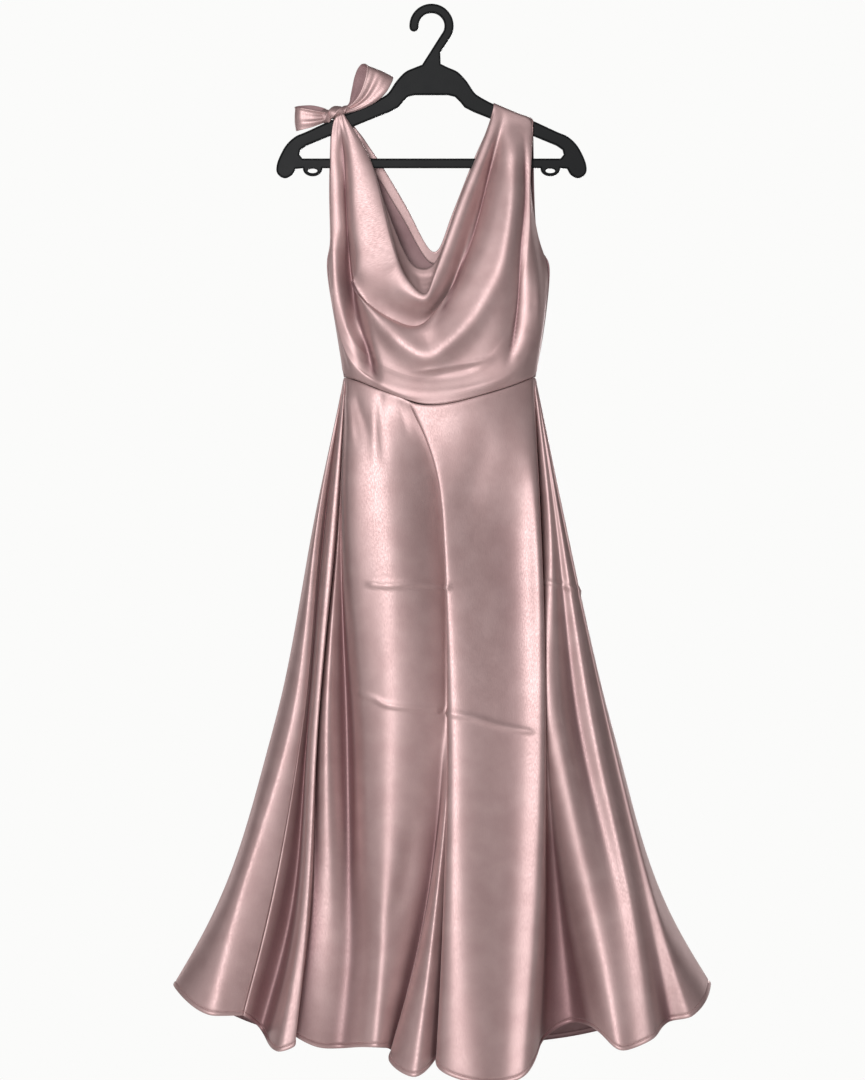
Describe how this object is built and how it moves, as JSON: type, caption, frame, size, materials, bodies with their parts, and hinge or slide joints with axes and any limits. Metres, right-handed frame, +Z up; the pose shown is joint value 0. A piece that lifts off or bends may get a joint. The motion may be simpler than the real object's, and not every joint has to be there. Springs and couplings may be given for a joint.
{
  "type": "evening dress on hanger",
  "caption": "Sleeveless floor-length satin dress with a cowl neck, V back, one shoulder tied in a bow and a fluted skirt, hung on a moulded plastic hanger.",
  "frame": {"origin": "underside of the hook's crest, where a rail carries the hanger", "axes": "+X to the right of someone facing the dress's front, +Y from the front of the dress to its back, +Z up"},
  "size_m": [0.782, 0.2873, 1.5535],
  "materials": {
    "satin": "satin",
    "hanger_plastic": "matte"
  },
  "bodies": {
    "root": {"armhole_binding_left": "satin", "armhole_binding_right": "satin", "back_neck_facing": "satin", "bodice_back": "satin", "bodice_front": "satin", "bow_knot": "satin", "bow_loop_left": "satin", "bow_loop_right": "satin", "hanger": "hanger_plastic", "skirt_back": "satin", "skirt_front": "satin"}
  },
  "joints": []
}
